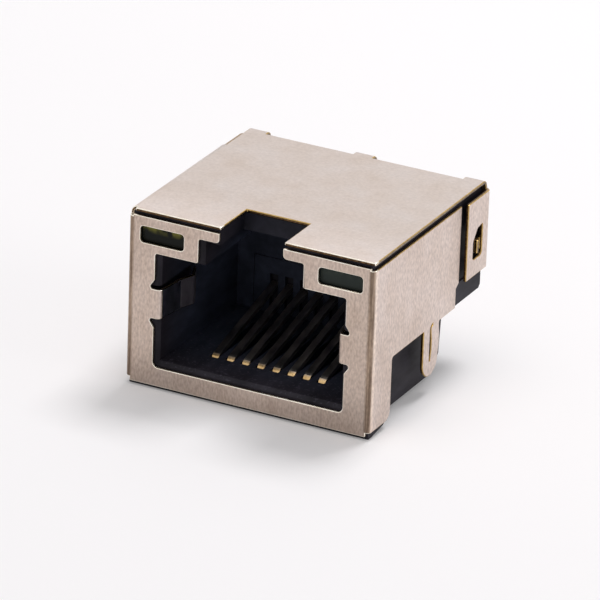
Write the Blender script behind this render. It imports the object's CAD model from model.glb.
import math

import bpy
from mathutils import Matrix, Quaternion, Vector
from mathutils.bvhtree import BVHTree


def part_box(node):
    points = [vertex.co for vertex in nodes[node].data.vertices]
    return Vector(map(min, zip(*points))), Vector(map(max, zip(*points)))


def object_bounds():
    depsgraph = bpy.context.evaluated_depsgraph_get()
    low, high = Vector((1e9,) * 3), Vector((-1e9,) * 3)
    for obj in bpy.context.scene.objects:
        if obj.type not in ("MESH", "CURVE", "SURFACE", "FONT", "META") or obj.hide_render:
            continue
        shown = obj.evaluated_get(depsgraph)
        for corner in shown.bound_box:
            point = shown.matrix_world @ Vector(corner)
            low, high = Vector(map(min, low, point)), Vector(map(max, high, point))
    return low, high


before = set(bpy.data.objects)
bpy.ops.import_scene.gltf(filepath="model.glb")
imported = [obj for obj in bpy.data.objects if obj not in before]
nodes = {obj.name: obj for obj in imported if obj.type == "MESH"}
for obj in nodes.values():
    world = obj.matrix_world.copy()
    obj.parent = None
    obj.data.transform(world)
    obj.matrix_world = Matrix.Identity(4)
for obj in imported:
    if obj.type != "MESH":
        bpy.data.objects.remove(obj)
cad_low, cad_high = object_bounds()
scene = bpy.context.scene
MM = 0.001
PLATE, CUT, RIM, FINGER = range(4)  # the shell's material slots

# ---------------------------------------------------------------- edges
SHEET_T = 0.2 * MM  # thickness of the shell's sheet
SHEET_SLACK = 1.15  # a face with more than this many thicknesses behind it is a cut edge
SKIN = 0.01 * SHEET_T  # how far under a face the look at what lies behind it starts
SMALL_EDGE = 0.02 * MM  # edges shorter than this are merged before an edge is rounded
FLAT_ANGLE = math.radians(0.5)  # triangles closer in angle than this become one face
SHARP_ANGLE = math.radians(70)  # edges sharper than this are rounded
SHELL_ROUND = 0.05 * MM
WIRE_ROUND = 0.12 * MM

# ---------------------------------------------------------------- places where a look sets in or ends
# A pair is a range along one axis, over which the look fades
SHELL_HALF = 8.15 * MM  # half the shell's width
SHELL_FRONT = -7.425 * MM
PANEL_BACK = (SHELL_FRONT + 0.3 * MM, SHELL_FRONT + 0.5 * MM)  # behind the front panel's sheet
LOW_FRONT = (0.2 * MM, 2.4 * MM)  # heights between which the front panel lightens
TOP_FRONT = (SHELL_FRONT, SHELL_FRONT + 4.5 * MM)  # where the top plate loses its lighter front
UNDER_LIP = (11.1 * MM, 11.16 * MM)  # heights between which the top plate's lower side starts
# The brown band beside the front bends, from half the width inwards
BAND_FROM = (SHELL_HALF - 0.46 * MM, SHELL_HALF - 0.28 * MM)
BAND_TO = (SHELL_HALF - 0.06 * MM, SHELL_HALF - 0.01 * MM)
# The bright line on the side, just behind the front bends
LINE_FROM = (SHELL_FRONT + 0.04 * MM, SHELL_FRONT + 0.12 * MM)
LINE_TO = (SHELL_FRONT + 0.34 * MM, SHELL_FRONT + 0.50 * MM)
# The spring fingers: within this half width, these depths and these heights
FINGER_X = 7.2 * MM
FINGER_Y = (-7.15 * MM, -2.0 * MM)
FINGER_Z = (1.5 * MM, 9.0 * MM)
TAIL_FROM = (-5.32 * MM, -5.26 * MM)  # where a finger turns out again
# The haze in the port
PORT_SIDE = (6.4 * MM, 6.45 * MM)
PORT_FLOOR = (0.5 * MM, 0.6 * MM)
PORT_TOP = (8.6 * MM, 9.6 * MM)  # heights between which the port gives way to the notch above it
DEEP_FROM = (-6.6 * MM, -3.0 * MM)
DEEP_TO = (2.85 * MM, 2.95 * MM)
# The contacts and the lenses
NOSE_REACH = 2.84 * MM  # how far behind the front the contacts' gold noses end
GOLD_FADE = 0.15 * MM
TINNED_FROM = (3.2 * MM, 3.4 * MM)
GLOW_DEPTH = 0.75 * MM  # how far below a lens's top its tint still shows

# ---------------------------------------------------------------- ranges of a noise, which runs from 0 to 1
NOISE_MID = (0.3, 0.7)  # where most of its values lie
TAIL_WEAR = 0.5  # what is added to the wire's wear by the time it reaches its tail
WIRE_WEAR = (0.3, 1.2)  # the wire's wear with that added
LENS_CLOUD = (0.47, 0.58)  # over which a lens's tint shows
DUST_MOTES = (0.60, 0.70)  # over which dust shows

# ---------------------------------------------------------------- ways a face can look
# A pair is a range of one part of the normal, over which the look fades
FORWARD = (0.6, 1.0)
UPWARD = (0.8, 1.0)
SIDEWAYS = (0.75, 0.95)
BENT_FORWARD = (0.2, 0.4)
EDGE_SIDEWAYS = (0.5, 1.0)
EDGE_UPWARD = (0.4, 0.9)
RIM_DOWNWARD = (-0.35, -0.15)
DUST_UPWARD = (0.5, 0.9)

# ---------------------------------------------------------------- colours
# A row of (place, colour) pairs is a ramp along a noise or a range
WHITE = (1, 1, 1)
NICKEL = (0.3, (0.600, 0.495, 0.432)), (0.5, (0.655, 0.550, 0.492)), (0.7, (0.695, 0.595, 0.545))
NICKEL_FLECKS = (0.33, (0.81, 0.80, 0.80)), (0.67, (1.11, 1.11, 1.10))
NICKEL_GRAIN = (0.3, (0.90, 0.895, 0.89)), (0.7, (1.05, 1.05, 1.05))
FRONT_TINT = (0.86, 0.83, 0.79)
LOW_FRONT_TINTS = (0.0, (0.80, 0.79, 0.79)), (1.0, WHITE)
TOP_TINTS = (0.0, (1.0, 1.02, 1.05)), (1.0, (0.88, 0.90, 0.92))
BAND_STREAKS = (0.35, (0.30, 0.26, 0.22)), (0.65, (0.66, 0.60, 0.52))
LINE_TINT = (1.24, 1.24, 1.20)
CUT_BROWN = (0.3, (0.035, 0.018, 0.008)), (0.55, (0.12, 0.07, 0.032)), (0.8, (0.30, 0.18, 0.08))
CUT_CREAM = (0.3, (0.42, 0.32, 0.20)), (0.8, (0.72, 0.60, 0.44))
CUT_GREY = (0.3, (0.12, 0.085, 0.055)), (0.8, (0.36, 0.27, 0.19))
CUT_UPWARD = (0.30, 0.21, 0.145)
RIM_CREAM = (0.3, (0.80, 0.70, 0.56)), (0.7, (0.97, 0.92, 0.83))
RIM_GOLD = (0.3, (0.36, 0.23, 0.07)), (0.7, (0.58, 0.40, 0.15))
RIM_BROWN = (0.05, 0.028, 0.015)
FINGER_BLUE = (0.3, (0.30, 0.32, 0.44)), (0.7, (0.48, 0.50, 0.64))
FINGER_TAIL = (0.3, (0.09, 0.08, 0.095)), (0.7, (0.16, 0.145, 0.17))
HOUSING_BLACK = (0.021, 0.0185, 0.025)
CARRIER_BLACK = (0.020, 0.018, 0.024)
PORT_HAZE = (0.036, 0.042, 0.066)
NOTCH_HAZE = (0.006, 0.007, 0.013)
FLOW_MARKS = (0.32, (0.5, 0.5, 0.5)), (0.5, (0.95, 0.95, 0.95)), (0.72, (1.8, 1.8, 1.8))
DUST_GAIN = 5  # how many times lighter than the moulding its dust is
DUST_COVER = 0.6
GOLD = (0.3, (0.42, 0.26, 0.11)), (0.7, (0.80, 0.56, 0.28))
BRONZE = (0.3, (0.20, 0.18, 0.17)), (0.7, (0.36, 0.32, 0.29))
TAIL_TIN = (0.3, (0.50, 0.50, 0.52)), (0.7, (0.72, 0.72, 0.74))
LEAD_TIN = (0.3, (0.50, 0.50, 0.52)), (0.7, (0.74, 0.74, 0.76))
YELLOW_DEPTH, YELLOW_GLOW = (0.008, 0.010, 0.008), (0.36, 0.34, 0.06)
GREEN_DEPTH, GREEN_GLOW = (0.028, 0.036, 0.032), (0.07, 0.09, 0.065)
PAPER = (0.92, 0.895, 0.91)


# ---------------------------------------------------------------- material helpers
class Shader:
    """A material and short ways to add nodes to it."""

    def __init__(self, name):
        self.mat = bpy.data.materials.new(name)
        self.mat.use_nodes = True
        self.tree = self.mat.node_tree
        self.bsdf = self.tree.nodes["Principled BSDF"]
        self.coord = self.tree.nodes.new("ShaderNodeTexCoord").outputs["Object"]

    def link(self, a, b):
        self.tree.links.new(a, b)

    def set(self, **values):
        """Uniform values on the shader's own sockets."""
        for name, value in values.items():
            self.bsdf.inputs[name.replace("_", " ")].default_value = value

    def fill(self, socket, value):
        """Links value to the socket, or sets it there when it is a number or a colour."""
        if isinstance(value, (int, float)):
            socket.default_value = value
        elif isinstance(value, tuple):
            socket.default_value = (*value, 1)
        else:
            self.link(value, socket)

    def scaled(self, x, y, z):
        """The object's coordinates, stretched where a scale is below 1."""
        node = self.tree.nodes.new("ShaderNodeMapping")
        node.inputs["Scale"].default_value = (x, y, z)
        self.link(self.coord, node.inputs["Vector"])
        return node.outputs["Vector"]

    def noise(self, vector, scale, detail, rough):
        node = self.tree.nodes.new("ShaderNodeTexNoise")
        node.inputs["Scale"].default_value = scale
        node.inputs["Detail"].default_value = detail
        node.inputs["Roughness"].default_value = rough
        self.link(vector, node.inputs["Vector"])
        return node.outputs["Fac"]

    def ramp(self, value, stops):
        """Colours at places along value."""
        node = self.tree.nodes.new("ShaderNodeValToRGB")
        cells = node.color_ramp.elements
        while len(cells) < len(stops):
            cells.new(0.5)
        for cell, (place, colour) in zip(cells, stops):
            cell.position = place
            cell.color = (*colour, 1)
        self.link(value, node.inputs["Fac"])
        return node.outputs["Color"]

    def span(self, value, low, high, to_low=0.0, to_high=1.0):
        """Maps the range from low to high onto another, and holds its ends beyond it."""
        node = self.tree.nodes.new("ShaderNodeMapRange")
        for name, number in zip(("From Min", "From Max", "To Min", "To Max"), (low, high, to_low, to_high)):
            node.inputs[name].default_value = number
        self.link(value, node.inputs["Value"])
        return node.outputs["Result"]

    def fade(self, value, low, high):
        """1 below the range and 0 beyond it."""
        return self.span(value, low, high, 1.0, 0.0)

    def between(self, value, rise, fall):
        """1 between two ranges of value, and 0 outside them."""
        return self.times(self.span(value, *rise), self.fade(value, *fall))

    def math(self, kind, *values):
        node = self.tree.nodes.new("ShaderNodeMath")
        node.operation = kind
        for socket, value in zip(node.inputs, values):
            self.fill(socket, value)
        return node.outputs["Value"]

    def times(self, a, b):
        return self.math("MULTIPLY", a, b)

    def either_way(self, value):
        """The value without its sign."""
        return self.math("ABSOLUTE", value)

    def mix(self, factor, a, b, kind="MIX"):
        node = self.tree.nodes.new("ShaderNodeMix")
        node.data_type = "RGBA"
        node.blend_type = kind
        # Inputs 6 and 7 and output 2 are the node's colours
        for socket, value in zip((node.inputs[0], node.inputs[6], node.inputs[7]), (factor, a, b)):
            self.fill(socket, value)
        return node.outputs[2]

    def tinted(self, colour, tint):
        return self.mix(1.0, colour, tint, "MULTIPLY")

    def split(self, vector):
        """A vector's x, y and z."""
        node = self.tree.nodes.new("ShaderNodeSeparateXYZ")
        self.link(vector, node.inputs["Vector"])
        return node.outputs

    def axes(self):
        """The place on the object, as x, y and z."""
        return self.split(self.coord)

    def facing(self):
        """The surface's normal, as x, y and z."""
        return self.split(self.tree.nodes.new("ShaderNodeTexCoord").outputs["Normal"])

    def bump(self, height, strength, distance):
        """Adds relief on top of what the surface already has."""
        node = self.tree.nodes.new("ShaderNodeBump")
        node.inputs["Strength"].default_value = strength
        node.inputs["Distance"].default_value = distance
        self.link(height, node.inputs["Height"])
        before = [l.from_socket for l in self.tree.links if l.to_socket == self.bsdf.inputs["Normal"]]
        if before:
            self.link(before[0], node.inputs["Normal"])
        self.link(node.outputs["Normal"], self.bsdf.inputs["Normal"])

    def colour(self, socket):
        self.link(socket, self.bsdf.inputs["Base Color"])

    def rough(self, value, place, ends):
        """Roughness that goes from the first of ends to the second over a range of value."""
        self.link(self.span(value, *place, *ends), self.bsdf.inputs["Roughness"])


# ---------------------------------------------------------------- the part's materials
def nickel():
    """Satin nickel plate: faint warm mottling, and fine flecks that run up and down the sides."""
    s = Shader("satin_nickel")
    s.set(Metallic=1.0)
    place, normal = s.axes(), s.facing()
    blotch = s.noise(s.scaled(1, 1, 0.6), scale=420, detail=4, rough=0.6)
    fleck = s.noise(s.scaled(1, 1, 0.42), scale=8200, detail=2, rough=0.5)
    speck = s.noise(s.coord, scale=5200, detail=3, rough=0.6)
    streak = s.noise(s.scaled(1, 1, 0.04), scale=9000, detail=2, rough=0.5)
    dent = s.noise(s.coord, scale=900, detail=2, rough=0.5)
    # Flecks show on the upright faces, and the top plate has only a soft grain
    upright = s.math("SUBTRACT", 1.0, s.either_way(normal[2]))
    marks = s.mix(upright, s.ramp(speck, NICKEL_GRAIN), s.ramp(fleck, NICKEL_FLECKS))
    plate = s.tinted(s.ramp(blotch, NICKEL), marks)
    # The front panel is a shade darker and warmer than the sides, and darker still low down
    forward = s.times(normal[1], -1.0)
    front = s.span(forward, *FORWARD)
    toned = s.mix(front, plate, s.tinted(plate, FRONT_TINT))
    toned = s.mix(front, toned, s.tinted(toned, s.ramp(s.span(place[2], *LOW_FRONT), LOW_FRONT_TINTS)))
    # The top plate is lighter along its front edge, and a shade greyer behind it
    top = s.ramp(s.span(place[1], *TOP_FRONT), TOP_TINTS)
    toned = s.mix(s.span(normal[2], *UPWARD), toned, s.tinted(plate, top))
    # Tool marks of the front bends: a brown streaked band on the front, and a bright line on the side
    band = s.times(s.between(s.either_way(place[0]), BAND_FROM, BAND_TO), s.span(forward, *BENT_FORWARD))
    toned = s.mix(band, toned, s.tinted(toned, s.ramp(streak, BAND_STREAKS)))
    line = s.times(s.between(place[1], LINE_FROM, LINE_TO), s.span(s.either_way(normal[0]), *SIDEWAYS))
    s.colour(s.mix(line, toned, s.tinted(toned, LINE_TINT)))
    s.rough(blotch, NOISE_MID, ends=(0.40, 0.32))
    s.bump(dent, strength=0.25, distance=0.02 * MM)
    s.bump(fleck, strength=0.30, distance=0.006 * MM)
    return s.mat


def cut_edge():
    """Bare edge of the punched sheet: brown and streaked, and cream round the front panel's openings."""
    s = Shader("cut_edge")
    s.set(Metallic=1.0, Roughness=0.38)
    normal = s.facing()
    streak = s.noise(s.coord, scale=6000, detail=3, rough=0.6)
    behind = s.span(s.axes()[1], *PANEL_BACK)
    side_edge = s.mix(behind, s.ramp(streak, CUT_CREAM), s.ramp(streak, CUT_GREY))
    sideways = s.span(s.either_way(normal[0]), *EDGE_SIDEWAYS)
    edge = s.mix(sideways, s.ramp(streak, CUT_BROWN), side_edge)
    s.colour(s.mix(s.span(normal[2], *EDGE_UPWARD), edge, CUT_UPWARD))
    s.bump(streak, strength=0.4, distance=0.01 * MM)
    return s.mat


def rolled_rim():
    """The rounded rim beside a cut edge, polished by the punch: cream in front and gold behind."""
    s = Shader("rolled_rim")
    s.set(Metallic=1.0, Roughness=0.24)
    place = s.axes()
    wear = s.noise(s.coord, scale=2500, detail=2, rough=0.5)
    bright = s.mix(s.span(place[1], *PANEL_BACK), s.ramp(wear, RIM_CREAM), s.ramp(wear, RIM_GOLD))
    # Under the top plate's front edge the rim is still brown from the cut
    under = s.times(s.span(place[2], *UNDER_LIP), s.fade(s.facing()[2], *RIM_DOWNWARD))
    s.colour(s.mix(under, bright, RIM_BROWN))
    return s.mat


def finger_nickel():
    """The spring fingers' burnished plate, which mirrors the dark port, and their dull tails."""
    s = Shader("finger_nickel")
    s.set(Metallic=1.0)
    cloud = s.noise(s.scaled(1, 1, 0.5), scale=1600, detail=3, rough=0.6)
    tail = s.span(s.axes()[1], *TAIL_FROM)
    s.colour(s.mix(tail, s.ramp(cloud, FINGER_BLUE), s.ramp(cloud, FINGER_TAIL)))
    s.rough(tail, (0.0, 1.0), ends=(0.30, 0.55))
    return s.mat


def black_moulding(name, tint):
    """Fine matt thermoplastic with faint flow marks and dust, blue-black and hazy deep in the port."""
    s = Shader(name)
    s.set(Specular_IOR_Level=0.15)
    place = s.axes()
    flow = s.noise(s.scaled(1, 0.35, 1), scale=500, detail=4, rough=0.6)
    grain = s.noise(s.coord, scale=7000, detail=2, rough=0.5)
    motes = s.noise(s.coord, scale=6500, detail=1, rough=0.5)
    inward = s.times(s.between(place[1], DEEP_FROM, DEEP_TO), s.fade(s.either_way(place[0]), *PORT_SIDE))
    inward = s.times(inward, s.span(place[2], *PORT_FLOOR))
    haze = s.mix(s.span(place[2], *PORT_TOP), PORT_HAZE, NOTCH_HAZE)
    plain = s.tinted(s.mix(inward, tint, haze), s.ramp(flow, FLOW_MARKS))
    # Pale dust on the faces that look up
    dust = s.times(s.span(motes, *DUST_MOTES), s.span(s.facing()[2], *DUST_UPWARD, 0.0, DUST_COVER))
    s.colour(s.mix(dust, plain, tuple(DUST_GAIN * c for c in tint)))
    s.rough(flow, NOISE_MID, ends=(0.60, 0.48))
    s.bump(grain, strength=0.25, distance=0.006 * MM)
    return s.mat


def gold_plate(gold_to):
    """Bronze wire, gold as far back as the plane gold_to across the port, and tinned tails."""
    s = Shader("gold_plate")
    s.set(Metallic=1.0)
    back = s.axes()[1]
    wear = s.noise(s.scaled(1, 0.25, 1), scale=1800, detail=3, rough=0.6)
    wire = s.mix(s.span(back, gold_to, gold_to + GOLD_FADE), s.ramp(wear, GOLD), s.ramp(wear, BRONZE))
    s.colour(s.mix(s.span(back, *TINNED_FROM), wire, s.ramp(wear, TAIL_TIN)))
    # The wire gets duller from its nose to its tail
    dulled = s.math("ADD", wear, s.span(back, gold_to, TINNED_FROM[0], 0.0, TAIL_WEAR))
    s.rough(dulled, WIRE_WEAR, ends=(0.28, 0.60))
    s.bump(wear, strength=0.2, distance=0.004 * MM)
    return s.mat


def tinned():
    """Dipped tin on the lamps' leads, frosted where it cooled last."""
    s = Shader("tinned_wire")
    s.set(Metallic=1.0)
    frost = s.noise(s.coord, scale=2600, detail=4, rough=0.65)
    s.colour(s.ramp(frost, LEAD_TIN))
    s.rough(frost, NOISE_MID, ends=(0.42, 0.25))
    s.bump(frost, strength=0.25, distance=0.01 * MM)
    return s.mat


def lens(name, depth, glow, glow_low, glow_high):
    """Unlit tinted epoxy: dark in its depth, with the tint showing where light enters from above."""
    s = Shader(name)
    s.set(Roughness=0.20, Specular_IOR_Level=0.10)
    cloud = s.noise(s.scaled(1, 0.5, 0.7), scale=850, detail=2, rough=0.5)
    ripple = s.noise(s.coord, scale=1500, detail=2, rough=0.5)
    amount = s.times(s.span(s.axes()[2], glow_low, glow_high), s.span(cloud, *LENS_CLOUD))
    s.colour(s.mix(amount, depth, glow))
    s.bump(ripple, strength=0.15, distance=0.01 * MM)
    return s.mat


# ---------------------------------------------------------------- materials on the CAD nodes
def wear_material(obj, *mats):
    """Gives the object one slot for each material, in this order."""
    obj.data.materials.clear()
    for m in mats:
        obj.data.materials.append(m)


def mark_cut_faces(obj):
    """Gives the cut slot to the faces with more than the sheet's thickness behind them."""
    mesh = obj.data
    tree = BVHTree.FromPolygons([v.co for v in mesh.vertices], [p.vertices for p in mesh.polygons])
    for p in mesh.polygons:
        hit = tree.ray_cast(p.center - p.normal * SKIN, -p.normal)
        p.material_index = CUT if hit[0] is None or hit[3] > SHEET_T * SHEET_SLACK else PLATE


def mark_fingers(obj):
    """Gives the finger slot to the spring fingers' broad faces, which bend back into the port."""
    for p in obj.data.polygons:
        x, y, z = p.center
        inside = abs(x) < FINGER_X and FINGER_Y[0] < y < FINGER_Y[1] and FINGER_Z[0] < z < FINGER_Z[1]
        if inside and p.material_index == PLATE:
            p.material_index = FINGER


def rounded_edges(obj, width, segments, clamp, rim=-1):
    """Merges the flat triangles and rounds the sharp edges by a hair, in the slot rim where one is given."""
    weld = obj.modifiers.new("weld", "WELD")
    weld.merge_threshold = SMALL_EDGE
    flat = obj.modifiers.new("flat", "DECIMATE")
    flat.decimate_type = "DISSOLVE"
    flat.angle_limit = FLAT_ANGLE
    flat.delimit = {"MATERIAL"}
    bevel = obj.modifiers.new("rim", "BEVEL")
    bevel.width = width
    bevel.segments = segments
    bevel.limit_method = "ANGLE"
    bevel.angle_limit = SHARP_ANGLE
    bevel.use_clamp_overlap = clamp
    bevel.material = rim


shell = nodes["shell"]
wear_material(shell, nickel(), cut_edge(), rolled_rim(), finger_nickel())
mark_cut_faces(shell)
mark_fingers(shell)
rounded_edges(shell, SHELL_ROUND, segments=2, clamp=False, rim=RIM)

wear_material(nodes["housing"], black_moulding("black_housing", HOUSING_BLACK))
wear_material(nodes["contact_carrier"], black_moulding("black_carrier", CARRIER_BLACK))
gold = gold_plate(cad_low.y + NOSE_REACH)
tin = tinned()
for name, obj in nodes.items():
    if name.startswith("contact_") and name != "contact_carrier":
        wear_material(obj, gold)
        rounded_edges(obj, WIRE_ROUND, segments=3, clamp=True)
    if name.startswith("led_lead"):
        wear_material(obj, tin)
lens_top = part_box("led_left")[1].z
glow_range = (lens_top - GLOW_DEPTH, lens_top)
wear_material(nodes["led_left"], lens("yellow_lens", YELLOW_DEPTH, YELLOW_GLOW, *glow_range))
wear_material(nodes["led_right"], lens("green_lens", GREEN_DEPTH, GREEN_GLOW, *glow_range))

# ---------------------------------------------------------------- floor and backdrop
FLOOR_SIZE = 6.0
BACKDROP = 1.0  # what the camera sees of the world
SKY = 0.40  # what lights the object from all round
FLOOR_GLOW = 0.15  # how much of the floor's look is plain white

bpy.ops.mesh.primitive_plane_add(size=FLOOR_SIZE, location=(0, 0, cad_low.z))
floor = bpy.context.object
floor.name = "floor"


def seen_directly(tree):
    """1 for camera, glossy and transmission rays, and 0 for the rays that light a surface."""
    rays = tree.nodes.new("ShaderNodeLightPath").outputs
    total = rays["Is Camera Ray"]
    for name in ("Is Glossy Ray", "Is Transmission Ray"):
        either = tree.nodes.new("ShaderNodeMath")
        either.operation = "MAXIMUM"
        tree.links.new(total, either.inputs[0])
        tree.links.new(rays[name], either.inputs[1])
        total = either.outputs["Value"]
    return total


def ray_level(tree, plain, direct):
    """A number that is plain for lighting rays and direct for the rays that see the backdrop."""
    node = tree.nodes.new("ShaderNodeMapRange")
    node.inputs["To Min"].default_value = plain
    node.inputs["To Max"].default_value = direct
    tree.links.new(seen_directly(tree), node.inputs["Value"])
    return node.outputs["Result"]


paper = Shader("paper")
paper.set(Base_Color=(*PAPER, 1), Roughness=0.7, Specular_IOR_Level=0.2)
glow = paper.tree.nodes.new("ShaderNodeEmission")
blend = paper.tree.nodes.new("ShaderNodeMixShader")
paper.link(ray_level(paper.tree, 0.0, FLOOR_GLOW), blend.inputs["Fac"])
paper.link(paper.bsdf.outputs["BSDF"], blend.inputs[1])
paper.link(glow.outputs["Emission"], blend.inputs[2])
paper.link(blend.outputs["Shader"], paper.tree.nodes["Material Output"].inputs["Surface"])
floor.data.materials.append(paper.mat)

world = bpy.data.worlds.new("studio")
scene.world = world
world.use_nodes = True
sky = world.node_tree
sky.nodes["Background"].inputs["Color"].default_value = (*WHITE, 1)
sky.links.new(ray_level(sky, SKY, BACKDROP), sky.nodes["Background"].inputs["Strength"])


# ---------------------------------------------------------------- lamps
def softbox(name, place, aim, size, power):
    """A rectangular lamp at place that faces aim."""
    data = bpy.data.lights.new(name, "AREA")
    data.shape = "RECTANGLE"
    data.size, data.size_y = size
    data.energy = power
    lamp = bpy.data.objects.new(name, data)
    scene.collection.objects.link(lamp)
    lamp.location = place
    lamp.rotation_mode = "QUATERNION"
    lamp.rotation_quaternion = (Vector(aim) - Vector(place)).to_track_quat("-Z", "Y")


softbox("key_box", place=(0.03, 0.15, 0.33), aim=(0, 0, 0), size=(0.12, 0.12), power=0.66)
softbox("top_box", place=(-0.03, -0.02, 0.40), aim=(0, 0, 0), size=(0.30, 0.30), power=0.30)
softbox("side_box", place=(0.30, 0.02, 0.14), aim=(0, 0, 0.005), size=(0.16, 0.12), power=0.12)

# ---------------------------------------------------------------- camera
CAM_PLACE = Vector((165.65, -333.29, 168.20)) * MM
CAM_AIM = Vector((-0.05, -0.67, 4.67)) * MM
CAM_ROLL = math.radians(2.005)
CAM_NEAR = 0.01
LENS_LENGTH = 408.5
SENSOR = 36

lens_data = bpy.data.cameras.new("camera")
lens_data.sensor_width = SENSOR
lens_data.lens = LENS_LENGTH
lens_data.clip_start = CAM_NEAR
lens_data.clip_end = FLOOR_SIZE
camera = bpy.data.objects.new("camera", lens_data)
scene.collection.objects.link(camera)
camera.location = CAM_PLACE
camera.rotation_mode = "QUATERNION"
camera.rotation_quaternion = (CAM_AIM - CAM_PLACE).to_track_quat("-Z", "Y") @ Quaternion((0, 0, 1), CAM_ROLL)
scene.camera = camera
scene.view_settings.view_transform = "Standard"
